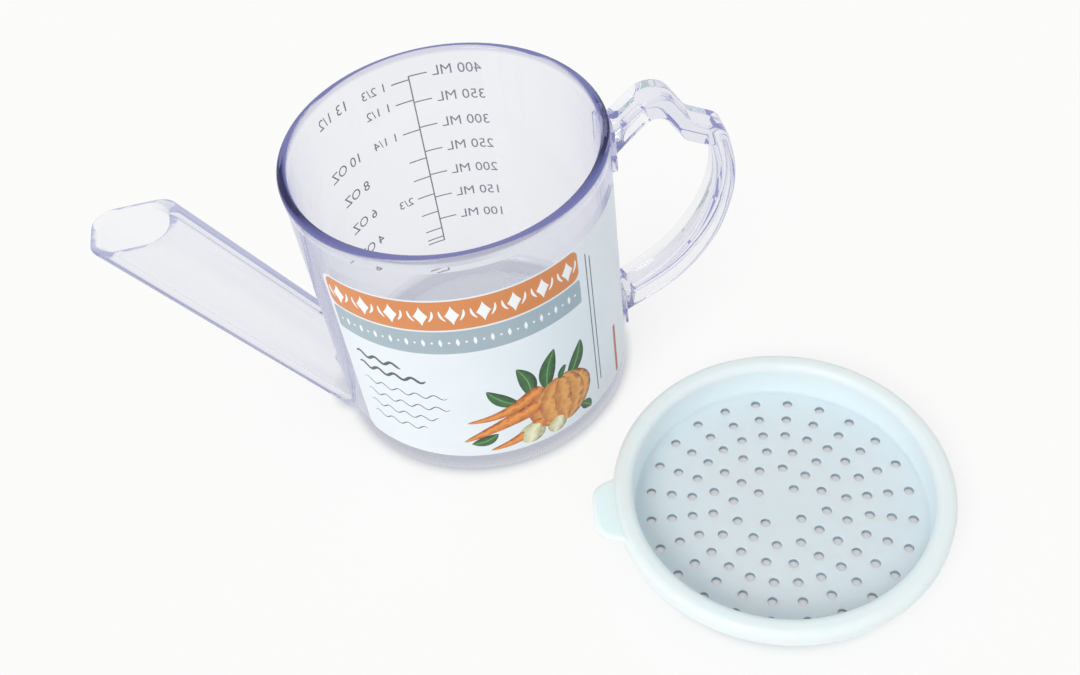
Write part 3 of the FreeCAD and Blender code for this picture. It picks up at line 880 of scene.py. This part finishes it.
def make_label():
    """White film with its bands, rules, red side bar, ornaments, wavy lines and picture."""
    dark = plain_ink("dark_ink")
    film = wall_patch("label_film", LABEL_START, LABEL_END, LABEL_BOTTOM, LABEL_TOP, LABEL_ROUNDING,
                      WALL_RADIUS + AIR, LABEL_THICKNESS - AIR, INK_EDGE, columns=160)
    show_print("label_film", film, plain_ink("white_film"), "wrap_label")
    print_patch("label_orange_band", PANEL_START, PANEL_END, *ORANGE_BAND, plain_ink("orange_ink"))
    print_patch("label_slate_band", PANEL_START, PANEL_END, *SLATE_BAND, plain_ink("slate_ink"))
    half = degrees_along(RULE_WIDTH / 2)
    for index, (direction, low, high) in enumerate(RULES):
        print_patch("label_rule_%d" % index, direction - half, direction + half, low, high,
                    RULE_ROUNDING, dark)
    print_patch("label_red_bar", *RED_BAR, plain_ink("red_ink"))
    make_ornaments()
    strips("label_waves", [wave(*line) for line in WAVES], dark, 1, 0, 7)
    make_picture()


# ---------------------------------------------------------------- scale

def scale_height(millilitres):
    """Level at which that much stands in the cup."""
    return FLOOR_TOP + millilitres * 1000 / BORE_AREA


def ink_stroke(start, end, low, high):
    """One printed stroke on the outside of the cup wall."""
    return wall_patch("stroke", start, end, low - SCALE_INK / 2, high + SCALE_INK / 2, 0, WALL_RADIUS + AIR,
                      INK_THICKNESS, INK_EDGE, columns=12, rows=3, steps=2)


def ink_text(text, direction, height, size, align):
    """Plain figures wrapped on the outside of the cup wall, level with a height."""
    curve = bpy.data.curves.new("figures", "FONT")
    curve.body = text
    curve.size = size
    curve.align_x = align
    curve.align_y = "CENTER"
    curve.extrude = INK_THICKNESS / 2
    curve.resolution_u = 3
    mesh = finished_mesh(placed("figures", curve))
    along, up, out = points_of(mesh).T
    points = on_wall(along, height + up, WALL_RADIUS + AIR + INK_THICKNESS / 2 + out, direction)
    mesh.vertices.foreach_set("co", (points * MM).ravel())
    merge_doubles(mesh, turn_outwards=False)
    return mesh


def make_scale():
    """Upright line, ticks and figures in grey ink."""
    grey = plain_ink("grey_ink")
    half, reach, gap = (degrees_along(length) for length in (SCALE_INK / 2, TICK, FIGURE_GAP))
    foot, top = scale_height(SCALE_FOOT), scale_height(MILLILITRES[0])
    strokes = [ink_stroke(SCALE_LINE - half, SCALE_LINE + half, foot, top),
               ink_stroke(SCALE_LINE, SCALE_LINE + reach, foot, foot)]
    figures = []
    for amount in MILLILITRES:
        level = scale_height(amount)
        strokes.append(ink_stroke(SCALE_LINE - reach, SCALE_LINE, level, level))
        figures.append(ink_text("%d ML" % amount, SCALE_LINE - reach - gap, level, FIGURE_SIZE, "RIGHT"))
    for amount, text in CUP_MARKS:
        level = scale_height(amount)
        strokes.append(ink_stroke(SCALE_LINE, SCALE_LINE + reach, level, level))
        if text:
            figures.append(ink_text(text, SCALE_LINE + reach + gap, level, SMALL_FIGURE_SIZE, "LEFT"))
    for amount, text in OUNCES:
        figures.append(ink_text(text, SCALE_LINE + OUNCES_TURN, scale_height(amount), FIGURE_SIZE, "LEFT"))
    show_print("scale_strokes", joined_mesh("scale_strokes", strokes), grey)
    show_print("scale_figures", joined_mesh("scale_figures", figures), grey)


# ---------------------------------------------------------------- lid

def tab_mesh():
    """Pull tab with a half round edge, rooted in the middle of the skirt's wall.

    Its reach out of the skirt is (1 + cos(pi |s|^3)) / 2 of its full reach, where s runs from -1 to 1."""
    across = np.linspace(-1, 1, 61)[:, None]
    turn = np.linspace(-math.pi / 2, math.pi / 2, 9)
    reach = (TAB_REACH + TAB_SINK) * (1 + np.cos(math.pi * abs(across) ** 3)) / 2 - TAB_SINK
    root = np.full(across.shape, SKIRT_OUTSIDE - SKIRT_WALL / 2)
    edge = SKIRT_OUTSIDE + reach - TAB_THICKNESS / 2 * (1 - np.cos(turn))
    radius = np.concatenate([root, np.maximum(edge, root + 2 * MERGE), root], axis=1)
    rise = np.sin(np.concatenate([turn[:1], turn, turn[-1:]]))
    height = LID_HEIGHT - TAB_DROP - TAB_THICKNESS / 2 * (1 - rise)
    return capped_mesh("tab", round_axis(radius, math.radians(TAB_SPREAD) * across, height))


def hole_tools():
    """Upright pins at every hole, in rings on shared spokes, as one mesh."""
    spots = []
    for ring, (count, turn) in enumerate(HOLE_RINGS):
        angle = np.radians(SPOKE_TURN + turn + np.arange(count) * 360 / count)
        radius = PLUG_RADIUS - LID_WALL - HOLE_MARGIN - ring * HOLE_RING_STEP
        spots.append(round_axis(radius, angle, 0))
    pin = round_bar("pin", HOLE_RADIUS, -PAST, LID_FLOOR + PAST, HOLE_STEPS)
    points = (points_of(pin) + np.concatenate(spots)[:, None] * MM).reshape(-1, 3)
    faces = [[corner + first for corner in face.vertices]
             for first in range(0, len(points), len(pin.vertices)) for face in pin.polygons]
    mesh = bpy.data.meshes.new("hole_tools")
    mesh.from_pydata(points.tolist(), [], faces)
    return mesh


def lid_mesh():
    """Turned bowl with its tab and holes, turned and put where the lid lies."""
    bottom, under_roof = LID_HEIGHT - SKIRT_HEIGHT, LID_HEIGHT - LID_ROOF
    skirt, basin = SKIRT_OUTSIDE - SKIRT_WALL, PLUG_RADIUS - LID_WALL
    bowl = turned("lid", [
        (0, 0, 0), (PLUG_RADIUS, 0, PLUG_ROUNDING), (PLUG_RADIUS, under_roof, ROOF_ROUNDING),
        (skirt, under_roof, ROOF_ROUNDING), (skirt, bottom, SKIRT_ROUNDING),
        (SKIRT_OUTSIDE, bottom, SKIRT_ROUNDING), (SKIRT_OUTSIDE, LID_HEIGHT, LID_ROUNDING),
        (basin, LID_HEIGHT, LID_ROUNDING), (basin, LID_FLOOR, BASIN_ROUNDING), (0, LID_FLOOR, 0)])
    lid = carved(bowl, tab_mesh(), "UNION", "MANIFOLD")
    lid = carved(lid, hole_tools(), "DIFFERENCE", "MANIFOLD")
    turn = Matrix.Rotation(math.radians(LID_TURN), 4, "Z")
    lid.transform(Matrix.Translation(Vector(LID_PLACE) * MM) @ turn)
    return lid


# ---------------------------------------------------------------- studio

def seen_rays(tree):
    """1 for rays that look at the surroundings straight, in a reflection or through plastic."""
    seen = ray(tree, "Is Camera Ray")
    for kind in ("Is Glossy Ray", "Is Transmission Ray"):
        seen = reckon(tree, "MAXIMUM", seen, ray(tree, kind))
    return seen


def make_floor():
    """Pale table top, white where it is looked at, with the object's soft shadow kept.

    In the gaps under the object its colour is darkened by painted shade where the object is near, and it
    glows less, and least where no plastic is in between."""
    bpy.ops.mesh.primitive_circle_add(vertices=96, radius=TABLE_RADIUS * MM, fill_type="NGON")
    floor = bpy.context.object
    floor.name = "floor"
    material, tree, shader = new_finish("pale_table")
    openness = add(tree, "AmbientOcclusion", {"Distance": TABLE_GAP * MM}).outputs["AO"]
    least = add(tree, "MapRange", {"Value": ray(tree, "Is Camera Ray"), "To Min": GAP_GLOW[0],
                                   "To Max": GAP_GLOW[1]}).outputs["Result"]
    glow = add(tree, "MapRange", {"Value": openness, "To Min": least,
                                  "To Max": TABLE_GLOW}).outputs["Result"]
    # Painted shade: the table's colour darkens where the object is near
    plug(tree, shader, {"Base Color": blend(tree, openness, PAINTED_TABLE_SHADE, TABLE_COLOUR), "Roughness": 0.8,
                        "Specular IOR Level": 0.1})
    white = add(tree, "Emission", {"Color": SURROUNDINGS}).outputs[0]
    surface = either(tree, reckon(tree, "MULTIPLY", seen_rays(tree), glow), shader.outputs[0], white)
    plug(tree, tree.nodes["Material Output"], {"Surface": surface})
    floor.data.materials.append(material)


def make_light():
    """Even white surroundings and one large soft lamp, rather low, from the front left."""
    world = bpy.data.worlds.new("studio")
    world.use_nodes = True
    tree = world.node_tree
    soft = tree.nodes["Background"]
    plug(tree, soft, {"Color": SKY, "Strength": SKY_STRENGTH})
    seen = add(tree, "Background", {"Color": SURROUNDINGS})
    surface = either(tree, seen_rays(tree), soft.outputs[0], seen.outputs[0])
    plug(tree, tree.nodes["World Output"], {"Surface": surface})
    bpy.context.scene.world = world
    lamp = bpy.data.lights.new("key", "SUN")
    lamp.energy = SUN_STRENGTH
    lamp.angle = math.radians(SUN_SPREAD)
    placed("key", lamp).rotation_euler = Vector(SUN_WAY).to_track_quat("-Z", "Y").to_euler()


def make_camera():
    """The camera over the front of the table, looking down past the jug."""
    optics = bpy.data.cameras.new("camera")
    optics.sensor_width = SENSOR_WIDTH
    optics.lens = FOCAL_LENGTH
    optics.clip_start = NEAREST_SEEN * MM
    camera = placed("camera", optics)
    axes = Matrix((Vector(CAMERA_RIGHT), -Vector(CAMERA_DOWN), -Vector(CAMERA_FORWARD)))
    camera.matrix_world = Matrix.Translation(Vector(CAMERA_PLACE) * MM) @ axes.transposed().to_4x4()
    bpy.context.scene.camera = camera


cup_plastic = clear_plastic("clear_cup_plastic", CUP_DENSITY, DEEP_VIOLET_GLOW, rim=True)
spout_plastic = clear_plastic("clear_spout_plastic", SPOUT_DENSITY, PALE_VIOLET_GLOW)
handle_plastic = clear_plastic("clear_handle_plastic", HANDLE_DENSITY, DEEP_VIOLET_GLOW)
show("cup", cup_mesh(), cup_plastic, "cup", "cup_body")
show("spout_tube", spout_mesh(), spout_plastic, "cup", "spout")
show("handle_strap", handle_mesh(), handle_plastic, "cup", "handle")
show("lid", lid_mesh(), lid_plastic(), "lid", "strainer_lid")
make_label()
make_scale()
make_floor()
make_light()
make_camera()
bpy.context.scene.view_settings.view_transform = "Standard"
